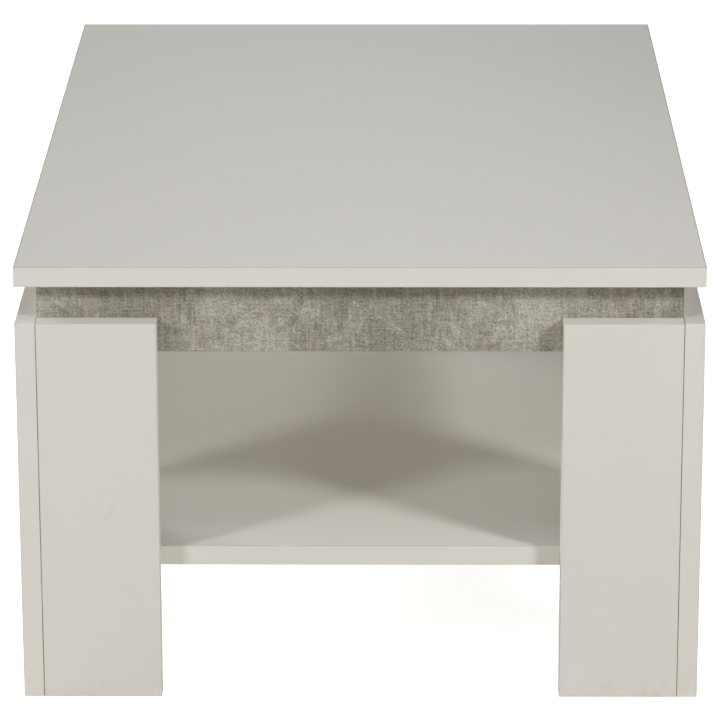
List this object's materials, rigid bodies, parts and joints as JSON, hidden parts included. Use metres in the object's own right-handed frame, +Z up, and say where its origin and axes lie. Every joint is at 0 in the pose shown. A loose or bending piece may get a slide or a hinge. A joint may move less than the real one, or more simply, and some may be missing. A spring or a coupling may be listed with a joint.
{
  "type": "lift top coffee table",
  "caption": "Low rectangular table: board top that rises and shifts forward on parallel arms, storage box, L-shaped board legs, lower shelf.",
  "frame": {"origin": "on the floor under the middle of the table", "axes": "+Z up, +Y along the table's length away from the near short end, +X across, the way the top shifts when it is lifted"},
  "size_m": [0.6, 0.9, 0.4],
  "materials": {
    "white_board": "melamine faced chipboard, warm off-white satin",
    "concrete_board": "melamine faced chipboard, matt concrete decor",
    "edging": "satin ABS edging",
    "floor_panel": "white faced fibreboard",
    "beech": "fluted beech",
    "rubber": "matt",
    "nylon": "natural",
    "black_steel": "black powder coat",
    "strut_black": "black enamel",
    "chrome_rod": "ground and polished",
    "zinc_casting": "die-cast zinc",
    "black_plastic": "moulded",
    "zinc_steel": "bright zinc plated"
  },
  "bodies": {
    "base": {"apron_cam_bolts": "zinc_steel", "apron_cam_locks": "zinc_casting", "apron_dowels": "beech", "base_pivot_pins": "zinc_steel", "base_pivot_washers": "nylon", "base_plate_screws": "zinc_steel", "far_base_plate": "black_steel", "far_end_apron": "concrete_board", "far_left_leg_end_board": "white_board", "far_left_leg_side_board": "white_board", "far_right_leg_end_board": "white_board", "far_right_leg_side_board": "white_board", "left_side_apron": "concrete_board", "leg_cam_bolts": "zinc_steel", "leg_cam_locks": "zinc_casting", "leg_dowels": "beech", "leg_screws": "zinc_steel", "lid_bumpers": "rubber", "lower_shelf": "white_board", "near_base_plate": "black_steel", "near_end_apron": "concrete_board", "near_left_leg_end_board": "white_board", "near_left_leg_side_board": "white_board", "near_right_leg_end_board": "white_board", "near_right_leg_side_board": "white_board", "right_side_apron": "concrete_board", "shelf_cam_bolts": "zinc_steel", "shelf_cam_locks": "zinc_casting", "shelf_dowels": "beech", "stop_studs": "zinc_steel", "storage_floor": "floor_panel", "strut_anchor_clips": "zinc_steel", "strut_anchor_studs": "zinc_steel"},
    "lift_arms": {"near_front_arm": "black_steel", "far_front_arm": "black_steel", "sync_tube": "black_steel", "sync_tube_plugs": "black_plastic", "sync_tube_screws": "zinc_steel"},
    "rear_arm_near": {"near_rear_arm": "black_steel"},
    "rear_arm_far": {"far_rear_arm": "black_steel"},
    "top": {"tabletop": "white_board", "tabletop_edging": "edging", "near_top_bracket": "black_steel", "far_top_bracket": "black_steel", "top_bracket_screws": "zinc_steel", "top_pivot_pins": "zinc_steel", "top_pivot_washers": "nylon"},
    "strut_cylinder_near": {"near_strut_tube": "strut_black", "near_strut_gland": "black_plastic", "near_strut_anchor_eye": "zinc_steel"},
    "strut_cylinder_far": {"far_strut_tube": "strut_black", "far_strut_gland": "black_plastic", "far_strut_anchor_eye": "zinc_steel"},
    "strut_rod_near": {"near_strut_rod": "chrome_rod", "near_strut_rod_eye": "zinc_steel", "near_strut_rod_pin": "zinc_steel"},
    "strut_rod_far": {"far_strut_rod": "chrome_rod", "far_strut_rod_eye": "zinc_steel", "far_strut_rod_pin": "zinc_steel"}
  },
  "joints": [
    {"name": "lift", "type": "hinge", "parent": "base", "child": "lift_arms", "pos_m": [0.08, 0, 0.364], "axis": [0, 1, 0], "range_deg": [0, 118]},
    {"name": "top_level", "type": "hinge", "parent": "lift_arms", "child": "top", "pos_m": [-0.11, 0, 0.364], "axis": [0, 1, 0], "range_deg": [-118, 0]},
    {"name": "rear_arm_near_swing", "type": "hinge", "parent": "base", "child": "rear_arm_near", "pos_m": [0.02, -0.41, 0.342], "axis": [0, 1, 0], "range_deg": [0, 118]},
    {"name": "strut_near_swing", "type": "hinge", "parent": "base", "child": "strut_cylinder_near", "pos_m": [0.25, -0.396, 0.354], "axis": [0, 1, 0], "range_deg": [-2.86, 0]},
    {"name": "strut_near_slide", "type": "slide", "parent": "strut_cylinder_near", "child": "strut_rod_near", "axis": [-0.9998, 0, 0.0215], "range_m": [0, 0.03679]},
    {"name": "rear_arm_far_swing", "type": "hinge", "parent": "base", "child": "rear_arm_far", "pos_m": [0.02, 0.41, 0.342], "axis": [0, 1, 0], "range_deg": [0, 118]},
    {"name": "strut_far_swing", "type": "hinge", "parent": "base", "child": "strut_cylinder_far", "pos_m": [0.25, 0.396, 0.354], "axis": [0, 1, 0], "range_deg": [-2.86, 0]},
    {"name": "strut_far_slide", "type": "slide", "parent": "strut_cylinder_far", "child": "strut_rod_far", "axis": [-0.9998, 0, 0.0215], "range_m": [0, 0.03679]}
  ],
  "couplings": [
    {"joint": "top_level", "follows": "lift", "ratio": -1},
    {"joint": "rear_arm_near_swing", "follows": "lift", "ratio": 1},
    {"joint": "strut_near_swing", "follows": "lift", "ratio": -0.024226},
    {"joint": "strut_near_slide", "follows": "lift", "m_per_rad": 0.017863},
    {"joint": "rear_arm_far_swing", "follows": "lift", "ratio": 1},
    {"joint": "strut_far_swing", "follows": "lift", "ratio": -0.024226},
    {"joint": "strut_far_slide", "follows": "lift", "m_per_rad": 0.017863}
  ]
}
